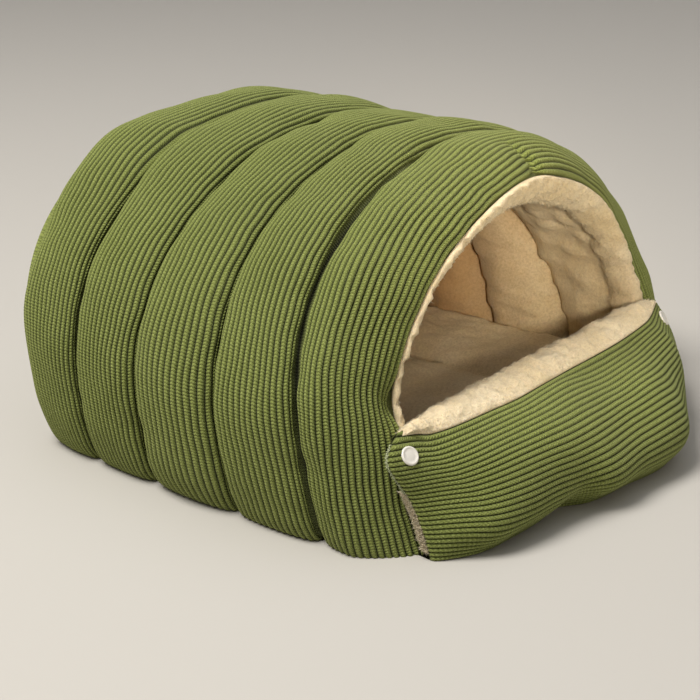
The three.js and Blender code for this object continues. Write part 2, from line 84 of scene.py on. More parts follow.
# Knit: widths of the channels, ribs, the points that make each one, and how densely the arch is cut.
CHANNEL_WIDTH = 94
FRONT_ROLL_WIDTH = 105
RIBS = 16
FRONT_RIBS = 17
RIB_POINTS = (0, 0.12, 0.34, 0.66, 0.88)
RIB_HEIGHT = 2.5
ARCH_ROWS = 206
BEND_DENSITY = 0.45
FIRST_FRONT_RIB = (len(SEAMS) - 1) * RIBS
RIB_ROUNDNESS = 0.6
RIB_EVENNESS = 0.95
RIB_GROOVE_SHADE = 1.25
RIM_RELIEF = 0.5
STITCH_LENGTH = 2.6

# Plush
PLUSH_THICKNESS = 4
LEAST_PLUSH = 1.2
GAP = 0.4
PLUSH_LIFT = 1.5

# Smooth unevenness of each surface, and how far from a foot, a seam or an edge it fades in
Wave = namedtuple("Wave", "height seed size stretch", defaults=[(1, 1, 1)])
RIB_WAVES = [Wave(0.12, 3, 60)]
GATHER_WAVES = [Wave(0.45, 5, 26, (1, 0.15, 1))]
SWELL_WAVES = [Wave(1.4, 7, 170), Wave(0.5, 8, 60)]
SWAY_WAVES = [Wave(0.5, 11, 90, (1, 0.6, 1)), Wave(0.25, 12, 25)]
LINING_WAVES = [Wave(1.5, 21, 13, (0.2, 0.22, 1)), Wave(0.8, 24, 30)]
LIP_WAVES = [Wave(0.9, 22, 12), Wave(0.8, 23, 6)]
FLAP_SWELL_WAVES = [Wave(1.3, 31, 120), Wave(0.3, 32, 45)]
FLAP_SWAY_WAVES = [Wave(0.35, 33, 80)]
FLOOR_WAVES = [Wave(0.72, 41, 15), Wave(0.48, 42, 7), Wave(0.96, 43, 60)]
BACK_WAVES = [Wave(1.0, 51, 40)]
GATHER_WIDTH = 16
FOOT_FADE = 25
SWELL_FADE = 12
SWAY_FADE = 10

UP = (0, 0, 1)
DOWN = (0, 0, -1)
FORWARD = (0, -1, 0)


# Numbers

def mix(start, end, amount):
    return start + (end - start) * amount


def unevenness(points, seed, size, waves=10):
    """A smooth field from about -1 to 1 whose bumps are about size across, from the points' places."""
    draw = np.random.default_rng(seed)
    directions = draw.normal(size=(waves, points.shape[-1]))
    directions /= np.linalg.norm(directions, axis=1, keepdims=True)
    phases = draw.uniform(0, 2 * math.pi, waves)
    lengths = size * draw.uniform(0.7, 1.4, waves)
    field = sum(
        np.sin(2 * math.pi * (points @ direction) / length + phase)
        for direction, phase, length in zip(directions, phases, lengths)
    )
    return field / math.sqrt(waves / 2)


def waves_over(points, waves):
    return sum(
        wave.height * unevenness(points * wave.stretch, wave.seed, wave.size) for wave in waves
    )


def bump(distance, width):
    return np.exp(-(distance / width) ** 2)


def unit(vectors):
    return vectors / np.maximum(np.linalg.norm(vectors, axis=-1, keepdims=True), 1e-9)


def spread(points, places):
    """Points at fractions of the length of a line."""
    steps = np.linalg.norm(np.diff(points, axis=0), axis=1)
    along = np.concatenate([[0], np.cumsum(steps)])
    along /= along[-1]
    return np.stack([np.interp(places, along, column) for column in points.T], -1)


def curve_through(knots, parts):
    """A line through knots, rounded between them."""
    knots = np.asarray(knots, float)
    first = 2 * knots[0] - knots[1]
    last = 2 * knots[-1] - knots[-2]
    padded = np.vstack([first, knots, last])
    line = []
    share = np.linspace(0, 1, parts, endpoint=False)[:, None]
    for a, b, c, d in zip(padded, padded[1:], padded[2:], padded[3:]):
        before, here, after = (math.sqrt(np.linalg.norm(q - p)) for p, q in ((a, b), (b, c), (c, d)))
        start = ((b - a) / before - (c - a) / (before + here) + (c - b) / here) * here
        end = ((c - b) / here - (d - b) / (here + after) + (d - c) / after) * here
        line.append(
            b + start * share
            + (-3 * b + 3 * c - 2 * start - end) * share ** 2
            + (2 * b - 2 * c + start + end) * share ** 3
        )
    return np.vstack([*line, knots[-1:]])


def bezier(knots, parts=24):
    share = np.linspace(0, 1, parts + 1)[:, None, None]
    weights = (1 - share) ** 3, 3 * share * (1 - share) ** 2, 3 * share ** 2 * (1 - share), share ** 3
    return sum(weight * knot for weight, knot in zip(weights, knots))


def table_value(rows, key, column, place):
    """Value of a table's column at places along its key column, on a smooth curve."""
    keys = np.array([getattr(row, key) for row in rows], float)
    values = np.array([getattr(row, column) for row in rows], float)
    last = len(rows) - 1
    at = np.clip(np.searchsorted(keys, place, side="left") - 1, 0, last - 1)
    slopes = np.empty(last + 1)
    for row in range(last + 1):
        low, high = max(row - 1, 0), min(row + 1, last)
        slopes[row] = (values[high] - values[low]) / (keys[high] - keys[low])
    span = keys[at + 1] - keys[at]
    t = np.clip((place - keys[at]) / span, 0, 1)
    start = 2 * t ** 3 - 3 * t ** 2 + 1
    return (
        start * values[at] + (1 - start) * values[at + 1]
        + span * ((t ** 3 - 2 * t ** 2 + t) * slopes[at] + (t ** 3 - t ** 2) * slopes[at + 1])
    )


# Lines across the tunnel

FOOT_SAMPLES = 60
ARCH_SAMPLES = 721
PROFILE_SAMPLES = 401
ROLL_SAMPLES = 14
RISE_WEIGHT = 0.2
even = np.linspace(0, 1, ARCH_ROWS)
ARCH_PLACES = even - BEND_DENSITY * np.sin(4 * math.pi * even) / (4 * math.pi)


def outline_of(seam):
    return np.array([seam.foot_x, seam.belly_x, seam.apex_z, seam.square])


def arch_line(outline, foot_y, ridge_y, lean):
    foot_x, belly_x, apex_z, square = outline
    low = np.linspace(0, math.pi / 2, FOOT_SAMPLES)[:-1]
    foot = np.stack([
        -foot_x - (belly_x - foot_x) * np.sin(low),
        BELLY_Z * (1 - np.cos(low)),
    ], -1)
    angle = np.linspace(0, math.pi, ARCH_SAMPLES)
    across = np.sign(np.cos(angle)) * np.abs(np.cos(angle)) ** (2 / square)
    up = np.abs(np.sin(angle)) ** (2 / square)
    arch = np.stack([-belly_x * across, BELLY_Z + (apex_z - BELLY_Z) * up], -1)
    outline_line = np.vstack([foot, arch, foot[::-1] * (-1, 1)])
    x, z = spread(outline_line, ARCH_PLACES).T
    y = mix(foot_y, ridge_y, (z.clip(0) / RIDGE_Z) ** lean)
    return np.stack([x, y, z], -1)


def arch_of(outline, seam):
    return arch_line(outline, seam.foot_y, seam.ridge_y, seam.lean)


def arch_between(outline, start, end, amount):
    """An arch that is part of the way from one seam to the next."""
    return arch_line(
        outline, mix(start.foot_y, end.foot_y, amount), mix(start.ridge_y, end.ridge_y, amount),
        mix(start.lean, end.lean, amount),
    )


def roll_profile(places):
    """Along and rise of a filled channel at fractions of its width."""
    angle = np.linspace(0, math.pi, PROFILE_SAMPLES)
    power = 2 / CHANNEL_SQUARENESS
    along = (1 - np.sign(np.cos(angle)) * np.abs(np.cos(angle)) ** power) / 2
    rise = np.abs(np.sin(angle)) ** power
    return (spread(np.stack([along, rise * RISE_WEIGHT], -1), places) / (1, RISE_WEIGHT)).T


def outer_outline(seam_outline, rise):
    return seam_outline + CHANNEL_RISE * rise


def inner_outline(seam_outline, rise):
    return mix(seam_outline, INNER_CREST, rise)


def channel_lines(start, end, places, outline_at, least_rise=0):
    along, rise = roll_profile(places)
    lines = []
    for a, r in zip(along, rise):
        if a > 0.5:
            r = max(r, least_rise)
        outline = outline_at(mix(outline_of(start), outline_of(end), a), r)
        lines.append(arch_between(outline, start, end, a))
    return lines


rim_side = np.array(RIM, float)
rim_knots = np.vstack([rim_side * (-1, 1, 1), rim_side[::-1][1:]])
rim_line = spread(curve_through(rim_knots, 40), ARCH_PLACES)
last_seam_line = arch_of(outline_of(SEAMS[-1]), SEAMS[-1])
front_crest_line = arch_of(outline_of(FRONT_CREST), FRONT_CREST)
front_inner_line = arch_of(INNER_CREST, FRONT_CREST)
outward_at_rim = unit((front_crest_line - rim_line) * (1, 0, 1))


def row_spread(paths, places):
    """Each column of paths is a line; gives its points at the places."""
    return np.stack([spread(paths[:, row], places) for row in range(paths.shape[1])], 1)


def front_roll(places):
    angle = np.linspace(0, math.pi / 2, ROLL_SAMPLES)[:-1, None, None]
    quarter = mix(last_seam_line, front_crest_line, np.sin(angle))
    quarter[..., 1] = mix(last_seam_line, front_crest_line, 1 - np.cos(angle))[..., 1]
    roll = bezier([
        front_crest_line,
        front_crest_line + (0, -FRONT_ROLL_REACH, 0),
        rim_line + outward_at_rim * RIM_ROLL_REACH + (0, -RIM_FORWARD, 0),
        rim_line,
    ])
    return row_spread(np.concatenate([quarter, roll]), places)


def lip(places):
    paths = bezier([
        rim_line,
        rim_line - outward_at_rim * LIP_REACH,
        front_inner_line + (0, -LIP_DEPTH, 0),
        front_inner_line,
    ])
    return row_spread(paths, places)


def inner_lines(lip_strips, strips):
    """Inner face of the wall from the rim to the back. Also gives how much of each line is lip, and
    how far it is from a seam as a share of its channel."""
    lines = list(lip(np.linspace(0, 1, lip_strips + 1)[:-1]))
    front_seam = INNER_SEAMS[-1]
    front = roll_profile(np.linspace(0.5, 1, strips * 3 // 2 + 1)[:-1]).T
    for a, r in front:
        outline = inner_outline(outline_of(front_seam), r)
        lines.append(arch_between(outline, FRONT_CREST, front_seam, 2 * a - 1))
    steps = np.linspace(0, 1, strips + 1)[:-1]
    for row in range(len(INNER_SEAMS) - 1, 1, -1):
        lines += channel_lines(INNER_SEAMS[row], INNER_SEAMS[row - 1], steps, inner_outline)
    lines += channel_lines(INNER_SEAMS[1], INNER_SEAMS[0], steps, inner_outline, BACK_END_RISE)
    back = INNER_SEAMS[0]
    lines.append(arch_of(inner_outline(outline_of(back), BACK_END_RISE), back))
    across = np.concatenate([front[:, 0], np.tile(steps, len(INNER_SEAMS) - 1), [1]])
    from_seam = np.append(np.full(lip_strips, 0.5), 0.5 - np.abs(0.5 - across))
    on_lip = np.append(np.linspace(1, 0, lip_strips + 1)[:-1], np.zeros(len(across)))
    return np.array(lines), on_lip, from_seam


def grid_normals(grid, row, way):
    """Normals of a grid, turned so that the one at the middle of a row points the given way."""
    normals = unit(np.cross(np.gradient(grid, axis=0), np.gradient(grid, axis=1)))
    return normals * (1 if normals[row, grid.shape[1] // 2] @ way > 0 else -1)


BACK_SLOPE = (SEAMS[0].ridge_y - SEAMS[0].foot_y) / RIDGE_Z


def within(grid, foot_z=0):
    """Keeps points off the floor and in front of the back panel."""
    grid[..., 2] = np.maximum(grid[..., 2], foot_z)
    grid[..., 1] = np.minimum(grid[..., 1], SEAMS[0].foot_y + BACK_SLOPE * grid[..., 2])
    return grid


# Meshes

def knit_and_groove_shade_map(rib, along, depth):
    """Rib number, stitches along the rib and how deep in the groove a point lies, which the knit's
    finish turns into painted groove shade.
    """
    return np.stack(np.broadcast_arrays(rib, along / STITCH_LENGTH, depth), -1)


def inside_shade_map(inside):
    """How far into the bed the plush is, from 0 to 1, which the plush's finish turns into painted
    shade.
    """
    return np.stack([inside, inside * 0, inside * 0], -1)


def new_piece(name, points, faces, finish, marks=None):
    mesh = bpy.data.meshes.new(name)
    places = np.asarray(points, float).reshape(-1, 3) + (0, ORIGIN_SHIFT_Y, 0)
    mesh.from_pydata((places * METRES).tolist(), [], faces)
    mesh.validate()
    for mark_name, values in (marks or {}).items():
        attribute = mesh.attributes.new(mark_name, "FLOAT_VECTOR", "POINT")
        attribute.data.foreach_set("vector", np.asarray(values, np.float32).reshape(-1))
    mesh.shade_smooth()
    piece = bpy.data.objects.new(name, mesh)
    bpy.context.scene.collection.objects.link(piece)
    mesh.materials.append(finish)
    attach(piece, "root")
    return piece


def loop_faces(loops, count, flip=False):
    """Faces of a body through rows of closed loops, with a cap at each end."""
    row = np.arange(loops - 1)[:, None] * count
    column = np.arange(count)[None, :]
    after = (column + 1) % count
    quads = np.stack([row + column, row + after, row + count + after, row + count + column], -1)
    faces = quads.reshape(-1, 4).tolist()
    faces.append(list(range(count))[::-1])
    faces.append([(loops - 1) * count + corner for corner in range(count)])
    return [face[::-1] for face in faces] if flip else faces


def sheet_faces(loops, count, flip=False):
    """Faces of a closed sheet whose loops run out on one side and back on the other."""
    faces = loop_faces(loops, count)[:-2]
    for start in (0, (loops - 1) * count):
        for at in range(count // 2 - 1):
            face = [start + at, start + at + 1, start + count - 2 - at, start + count - 1 - at]
            faces.append(face[::-1] if start == 0 else face)
    return [face[::-1] for face in faces] if flip else faces


def arch_length(line):
    steps = np.linalg.norm(np.diff(line, axis=0), axis=1)
    return np.concatenate([[0], np.cumsum(steps)])


# Finishes

class Value:
    """One output of a shader node, for plain expressions."""

    def __init__(self, finish, socket):
        self.finish = finish
        self.socket = socket

    def maths(self, operation, *values):
        return self.finish.node("ShaderNodeMath", {"operation": operation}, dict(enumerate(values)))

    def __add__(self, other):
        return self.maths("ADD", self, other)

    def __radd__(self, other):
        return self.maths("ADD", other, self)

    def __sub__(self, other):
        return self.maths("SUBTRACT", self, other)

    def __rsub__(self, other):
        return self.maths("SUBTRACT", other, self)

    def __mul__(self, other):
        return self.maths("MULTIPLY", self, other)

    def __rmul__(self, other):
        return self.maths("MULTIPLY", other, self)

    def sine(self):
        return self.maths("SINE", self)

    def size(self):
        return self.maths("ABSOLUTE", self)

    def rest(self):
        return self.maths("FRACT", self)

    def held(self):
        return self.finish.node("ShaderNodeClamp", {}, {"Value": self})


class Finish:
    """A material and the nodes that make its look."""

    def __init__(self, name, **constants):
        self.material = bpy.data.materials.new(name)
        self.material.use_nodes = True
        self.tree = self.material.node_tree
        self.tree.nodes.clear()
        self.output = self.tree.nodes.new("ShaderNodeOutputMaterial")
        self.shader = self.tree.nodes.new("ShaderNodeBsdfPrincipled")
        self.tree.links.new(self.shader.outputs["BSDF"], self.output.inputs["Surface"])
        for socket, constant in constants.items():
            self.shader.inputs[socket.replace("_", " ")].default_value = constant

    def node(self, kind, settings, sockets, out=0):
        node = self.tree.nodes.new(kind)
        for name, setting in settings.items():
            setattr(node, name, setting)
        for key, value in sockets.items():
            self.feed(self.find(node.inputs, key), value)
        return Value(self, self.find(node.outputs, out))

    @staticmethod
    def find(sockets, key):
        if isinstance(key, int):
            return sockets[key]
        by_identifier = [socket for socket in sockets if socket.identifier == key]
        return by_identifier[0] if by_identifier else sockets[key]

    def feed(self, socket, value):
        if isinstance(value, Value):
            self.tree.links.new(value.socket, socket)
        else:
            socket.default_value = value

    def shade(self, socket, value):
        self.feed(self.shader.inputs[socket], value)

    def mark(self, name):
        vector = self.node("ShaderNodeAttribute", {"attribute_name": name}, {}, "Vector")
        return [self.node("ShaderNodeSeparateXYZ", {}, {0: vector}, axis) for axis in "XYZ"]

    def place(self):
        return self.node("ShaderNodeTexCoord", {}, {}, "Object")

    def noise(self, place, scale, detail=2, roughness=0.5):
        return self.node("ShaderNodeTexNoise", {"noise_dimensions": "3D"}, {
            "Vector": place, "Scale": scale, "Detail": detail, "Roughness": roughness,
        }, "Fac")

    def blend(self, amount, first, second):
        colours = [value if isinstance(value, Value) else (*value, 1) for value in (first, second)]
        return self.node("ShaderNodeMix", {"data_type": "RGBA"}, {
            "Factor_Float": amount, "A_Color": colours[0], "B_Color": colours[1],
        }, "Result_Color")

    def relief(self, height, distance, strength):
        sockets = {"Height": height, "Distance": distance, "Strength": strength}
        return self.node("ShaderNodeBump", {}, sockets)


def colour(code):
    """Linear colour of a paint code such as 7f9440."""
    parts = [int(code[at:at + 2], 16) / 255 for at in (0, 2, 4)]
    return tuple(part / 12.92 if part <= 0.04045 else ((part + 0.055) / 1.055) ** 2.4 for part in parts)


def ribbed_knit():
    finish = Finish(
        "ribbed_knit", Roughness=0.92, Specular_IOR_Level=0.25,
        Sheen_Weight=0.25, Sheen_Roughness=0.5, Sheen_Tint=(*colour("dfe2a8"), 1),
    )
    # The third value of the knit mark sets the painted groove shade.
    rib, stitch, depth = finish.mark("knit")
    place = finish.place()
    across = (rib.rest() - 0.5).size() * 2
    wale = ((stitch + across * 0.55) * (2 * math.pi)).sine() * 0.5 + 0.5
    yarn = finish.noise(place, scale=900, detail=3, roughness=0.6)
    cloudy = finish.noise(place, scale=14, detail=3, roughness=0.55)
    tone = finish.blend(cloudy, colour("75803a"), colour("8c974b"))
    fibres = finish.blend(((yarn - 0.42) * 2.6).held(), colour("616d2c"), colour("bcc77e"))
    tone = finish.blend(0.5, tone, fibres)
    # Painted highlight: the middle of each rib is lightened, as if lit along its crest.
    tone = finish.blend(((1 - across) * 0.14).held(), tone, colour("bcbf70"))
    # Painted shade: the gaps between stitches are darkened, more strongly towards the grooves.
    stitch_gap_shade = ((1 - wale) * (0.35 + across * 0.65)).held()
    tone = finish.blend(stitch_gap_shade * 0.45, tone, colour("343d13"))
    # Painted shade: the grooves between ribs are darkened to near black.
    tone = finish.blend((depth * 1.15).held(), tone, colour("121504"))
    finish.shade("Base Color", tone)
    height = wale * 0.9 + yarn * 0.9
    finish.shade("Normal", finish.relief(height, distance=0.0011, strength=0.75))
    return finish.material


def cream_plush():
    finish = Finish(
        "cream_plush", Roughness=0.95, Specular_IOR_Level=0.15,
        Sheen_Weight=0.5, Sheen_Roughness=0.45, Sheen_Tint=(*colour("f3e6cc"), 1),
        Subsurface_Weight=0.12, Subsurface_Radius=(0.006, 0.004, 0.002),
    )
    place = finish.place()
    cloudy = finish.noise(place, scale=22, detail=4, roughness=0.6)
    pile = finish.noise(place, scale=420, detail=4, roughness=0.7)
    clumps = finish.noise(place, scale=120, detail=3, roughness=0.6)
    # The depth mark sets how much painted shade the plush gets.
    inside, _, _ = finish.mark("depth")
    tone = finish.blend(((cloudy - 0.25) * 1.6).held(), colour("e0cca4"), colour("f1e4c8"))
    # Painted shade: plush deeper in the bed is darkened to a warm brown, as if in shadow and lit by
    # bounced light.
    tone = finish.blend(inside.held(), tone, colour("b98e5c"))
    tone = finish.blend(((0.6 - pile) * 1.2).held(), tone, colour("8f744b"))
    finish.shade("Base Color", tone)
    height = pile * 0.7 + clumps * 1.2
    finish.shade("Normal", finish.relief(height, distance=0.0016, strength=0.7))
    return finish.material


def snap_plastic():
    finish = Finish("snap_plastic", Roughness=0.32, Coat_Weight=0.3, Coat_Roughness=0.15)
    place = finish.place()
    cloudy = finish.noise(place, scale=60)
    grain = finish.noise(place, scale=900)
    finish.shade("Base Color", finish.blend(cloudy, colour("dedacf"), colour("ebe7de")))
    finish.shade("Normal", finish.relief(grain, distance=0.0001, strength=0.2))
    return finish.material


def thread(name, light, dark):
    finish = Finish(name, Roughness=0.85, Sheen_Weight=0.3)
    twist = finish.noise(finish.place(), scale=700, detail=3)
    finish.shade("Base Color", finish.blend(twist, colour(dark), colour(light)))
    finish.shade("Normal", finish.relief(twist, distance=0.0005, strength=0.6))
    return finish.material


KNIT = ribbed_knit()
PLUSH = cream_plush()
PILE = thread("cream_pile", "efe3c9", "d9c8a2")
FRAY = thread("cut_edge_thread", "dfe3bf", "a3ad74")
SNAP = snap_plastic()


# Tunnel wall

# Puckers in the knit; a depth below zero fills the surface out
Dent = namedtuple("Dent", "x y z size depth")
DENTS = [
    Dent(-188, -118, 112, 13, 7.5),
    Dent(-110, 215, 262, 55, -8.0),
    Dent(-150, 215, 242, 40, -5.0),
    Dent(60, 150, 262, 14, 3.0),
    Dent(-20, 96, 268, 13, 3.5),
    Dent(-62, 30, 268, 13, 3.0),
    Dent(228, -75, 150, 60, 5.0),
]


def dented(grid, normals):
    """Sinks or fills out a surface at the places in the table."""
    sunk = np.zeros(grid.shape[:-1])
    for dent in DENTS:
        away = np.linalg.norm(grid - (dent.x, dent.y, dent.z), axis=-1)
        sunk += dent.depth * bump(away, dent.size)
    return grid - normals * sunk[..., None]


def rib_places(ribs, points):
    """Fractions of a width where the points of all its ribs are."""
    return (np.arange(ribs)[:, None] + np.array(points)).ravel() / ribs


def wall_outer():
    """Outer face of the wall from back to rim, with each line's rib number and way from a seam."""
    places = rib_places(RIBS, RIB_POINTS)
    front_places = np.append(rib_places(FRONT_RIBS, RIB_POINTS), 1)
    lines, rib, from_seam = [], [], []
    for row in range(len(SEAMS) - 1):
        lines += channel_lines(SEAMS[row], SEAMS[row + 1], places, outer_outline)
        rib.append(places * RIBS + row * RIBS)
        share = 1 - places if row == 0 else np.minimum(places, 1 - places)
        from_seam.append(share * CHANNEL_WIDTH)
    lines += list(front_roll(front_places))
    rib.append(front_places * FRONT_RIBS + FIRST_FRONT_RIB)
    from_seam.append(front_places * FRONT_ROLL_WIDTH)
    return np.array(lines), np.concatenate(rib), np.concatenate(from_seam)


DART_X = 19
DART_START = 0.45
DART_LENGTH = 0.4
DART_LEAST_Z = 150
DART_CREASE = 5
DART_CREASE_WIDTH = 3.5
DART_HOLLOW = 2
DART_HOLLOW_WIDTH = 14
DART_REACH = 20
DART_SLIP_LEFT = 4.0
DART_SLIP = 1.0
RIM_SHARE = 0.995


def dart(grid, normals, rib):
    """The pinch in the front roll over the entrance, where ribs of the two sides meet out of step."""
    from_dart = grid[..., 0] - DART_X
    over_front = np.clip((rib - FIRST_FRONT_RIB) / FRONT_RIBS, 0, 1)[:, None]
    near_rim = np.clip((over_front - DART_START) / DART_LENGTH, 0, 1)
    near_rim = near_rim * near_rim * (3 - 2 * near_rim) * (grid[..., 2] > DART_LEAST_Z)
    pinch = bump(from_dart, DART_CREASE_WIDTH) * DART_CREASE
    pinch += bump(from_dart, DART_HOLLOW_WIDTH) * DART_HOLLOW
    pulled = grid - normals * (pinch * near_rim)[..., None]
    slip = np.sign(from_dart) * bump(from_dart, DART_REACH) * near_rim * (over_front < RIM_SHARE)
    pulled[..., 1] -= DART_SLIP_LEFT * slip * (from_dart < 0) + DART_SLIP * slip
    return pulled


def build_wall():
    outer, rib, from_seam = wall_outer()
    normals = grid_normals(outer, len(outer) // 2, UP)
    from_seam = from_seam[:, None]
    relief = np.abs(np.sin(math.pi * rib))[:, None] ** RIB_ROUNDNESS
    relief[-1] = RIM_RELIEF
    depth = RIB_HEIGHT * (RIB_EVENNESS + waves_over(outer, RIB_WAVES))
    bite = SEAM_BITE * np.clip(1 - from_seam / SEAM_BITE_WIDTH, 0, 1) ** 2
    gathers = np.exp(-from_seam / GATHER_WIDTH) * waves_over(outer, GATHER_WAVES)
    fades = np.minimum(outer[..., 2] / FOOT_FADE, 1) * np.minimum(from_seam / SWELL_FADE, 1)
    height = relief * depth - bite + gathers + waves_over(outer, SWELL_WAVES) * fades
    shaped = outer + normals * (height - RIB_HEIGHT / 2)[..., None]
    shaped[..., 1] += waves_over(outer, SWAY_WAVES) * np.minimum(from_seam / SWAY_FADE, 1)
    shaped = within(dart(dented(shaped, normals), normals, rib))
    inner, _, _ = inner_lines(8, 6)
    loops = np.concatenate([shaped, inner[1:]])
    along = arch_length(outer[len(outer) // 2])
    marks = np.zeros(loops.shape)
    # Painted shade: the grooves of the wall's ribs get their darkening amount here.
    marks[:len(outer)] = knit_and_groove_shade_map(rib[:, None], along, (1 - relief) ** RIB_GROOVE_SHADE)
    piece = new_piece("tunnel_cover", loops.transpose(1, 0, 2),
                      loop_faces(ARCH_ROWS, len(loops), flip=True), KNIT,
                      {"knit": marks.transpose(1, 0, 2)})
    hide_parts("tunnel_wall")


LIP_TURN = 2.5
LIP_LUMPS_LEAST = 0.35
LIP_PUFF_SPAN = 1.05
LIP_PUFF_ROUNDNESS = 0.8
SEAM_VALLEY = 2.4
SHADE_START_Y = -10
SHADE_LENGTH = 130


def build_tunnel_plush():
    inner, on_lip, from_seam = inner_lines(18, 16)
    on_lip, from_seam = on_lip[:, None], from_seam[:, None]
    turn = np.ones((len(inner), 1, 3))
    turn[..., 1] = np.minimum(on_lip * LIP_TURN, 1)
    normals = unit(grid_normals(inner, -1, DOWN) * turn)
    seat = within(inner + normals * GAP, PLUSH_LIFT)
    puff = np.sin(math.pi * np.clip(on_lip * LIP_PUFF_SPAN, 0, 1)) ** LIP_PUFF_ROUNDNESS
    valley = (1 - np.clip(from_seam * 2, 0, 1)) ** 2
    gathers = waves_over(inner, LINING_WAVES) * (1 - on_lip)
    lumps = waves_over(inner, LIP_WAVES) * np.maximum(on_lip, LIP_LUMPS_LEAST)
    thick = PLUSH_THICKNESS + LIP_PUFF * puff - SEAM_VALLEY * valley + gathers + lumps
    thick = np.maximum(thick, LEAST_PLUSH)
    face = within(inner + normals * (GAP + thick)[..., None], PLUSH_LIFT)
    loops = np.concatenate([seat, face[::-1]])
    # Painted shade: the plush is darkened further back in the tunnel, but not on the lip.
    inside = np.clip((face[..., 1] - SHADE_START_Y) / SHADE_LENGTH, 0, 1) * (1 - on_lip)
    marks = inside_shade_map(np.concatenate([inside, inside[::-1]]))
    piece = new_piece("tunnel_plush", loops.transpose(1, 0, 2),
                      sheet_faces(ARCH_ROWS, len(loops), flip=True), PLUSH,
                      {"depth": marks.transpose(1, 0, 2)})
    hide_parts("tunnel_lining")
    return piece, face, normals, int((on_lip > 0).sum())


build_wall()
tunnel_plush, tunnel_face, tunnel_normals, lip_rows = build_tunnel_plush()


# Base, its flap and its plush

FlapRow = namedtuple("FlapRow", "x contact_y belly_y belly_z brow_y brow_z seam_y seam_z "
                     "crest_y crest_z inner_y inner_z floor_x floor_y floor_z")
LEFT_FLAP = [
    FlapRow(0, -214, -233, 28, -212, 66, -156, 88, -130, 92, -106, 72, 0, -100, 38),
    FlapRow(46, -206, -231, 28, -211, 66, -156, 88, -130, 92, -106, 72, 47, -100, 34),
    FlapRow(74, -190, -219, 33, -206, 67, -156, 88, -130, 92, -106, 72, 76, -100, 22),
    FlapRow(100, -192, -214, 28, -200, 66, -153, 88, -130, 92, -106, 72, 103, -100, 34),
    FlapRow(146, -189, -205, 26, -184, 66, -147, 88, -130, 92, -112, 74, 150, -104, 38),
    FlapRow(166, -186, -198, 24, -172, 64, -141, 88, -130, 91, -123, 82, 170, -118, 34),
    FlapRow(180, -181, -187, 24, -163, 62, -137, 91, -132.5, 93, -129.5, 89, 177, -156, 8),
    FlapRow(205, -165, -157, 26, -146, 58, -134, 95, -131.5, 97, -129.5, 93, 182, -157, 6),
]
RIGHT_FLAP = [
    FlapRow(0, -214, -233, 28, -212, 66, -156, 88, -130, 92, -106, 72, 0, -100, 38),
    FlapRow(46, -221, -237, 30, -211, 67, -157, 88, -130, 92, -106, 72, 47, -100, 34),
    FlapRow(74, -219, -235, 32, -206, 67, -157, 88, -130, 92, -106, 72, 76, -100, 22),
    FlapRow(100, -210, -223, 30, -197, 66, -156, 88, -130, 92, -106, 72, 103, -100, 34),
    FlapRow(146, -189, -198, 28, -180, 66, -152, 88, -130, 92, -112, 74, 150, -104, 38),
    FlapRow(166, -179, -186, 26, -168, 64, -147, 88, -130, 91, -123, 82, 170, -118, 34),
    FlapRow(180, -172, -177, 26, -161, 64, -142, 88, -132, 90, -129.5, 86, 177, -156, 8),
    FlapRow(205, -161, -162, 26, -150, 62, -134, 90, -131.5, 91, -129.5, 87, 182, -157, 6),
]
TabEdge = namedtuple("TabEdge", "z left right")
TAB_EDGE = [
    TabEdge(0, 205, 180), TabEdge(14, 207, 182), TabEdge(36, 210, 187), TabEdge(50, 213, 192),
    TabEdge(66, 220, 195), TabEdge(78, 224, 196), TabEdge(86, 221, 195), TabEdge(92, 213, 192),
    TabEdge(96, 205, 190),
]
FLAP_RIBS = 27
FLAP_RIB_POINTS = (0, 0.13, 0.32, 0.68, 0.87)
FLAP_ROWS_ACROSS = 261
FLAP_RIB_ROUNDNESS = 0.45
FLAP_RIB_HEIGHT = 1.9
FLAP_GROOVE_SHADE = 1.15
FLAP_SINK = 0.8
FLAP_END_WIDTH = 9
FLAP_END_DROP = 3.5
CONTACT_LIFT = 0.3
FLAP_END = LEFT_FLAP[-1].x
FLOOR_BACK_Y = 216
HEEL_Y = -158
PLUSH_END = 200
PLUSH_ROWS_ACROSS = 151
PLUSH_SIDE = 0.25
PLUSH_SIDE_WIDTH = 12
PLUSH_EDGE = 0.35
PLUSH_EDGE_ROWS = 3
FLOOR_SEAM_X = 74
FLOOR_SEAM_DEPTH = 4.0
FLOOR_SEAM_WIDTH = 5
FLOOR_SEAM_ROWS = 44
FLOOR_LEAST_PLUSH = 0.6
FLOOR_SHADE_START_Y = 40
FLOOR_SHADE_LENGTH = 150
CREST_KNOTS = ("seam", "crest", "inner")


def flap_value(place, column):
    return table_value(RIGHT_FLAP if place > 0 else LEFT_FLAP, "x", column, abs(place))


def flap_knot(place, name):
    z = CONTACT_LIFT if name == "contact" else flap_value(place, name + "_z")
    return np.array([flap_value(place, name + "_y"), z])


def flap_x(place, z):
    side = "right" if place > 0 else "left"
    edge = table_value(TAB_EDGE, "z", side, np.minimum(z, TAB_EDGE[-1].z))
    return place / FLAP_END * edge


def section(place, names, places):
    y, z = spread(curve_through([flap_knot(place, name) for name in names], 24), places).T
    return np.stack([flap_x(place, z), y, z], -1)


def floor_corner(place):
    """Where the flap's inner side comes down to the floor."""
    x = math.copysign(flap_value(place, "floor_x"), place)
    return np.array([x, flap_value(place, "floor_y"), flap_value(place, "floor_z")])


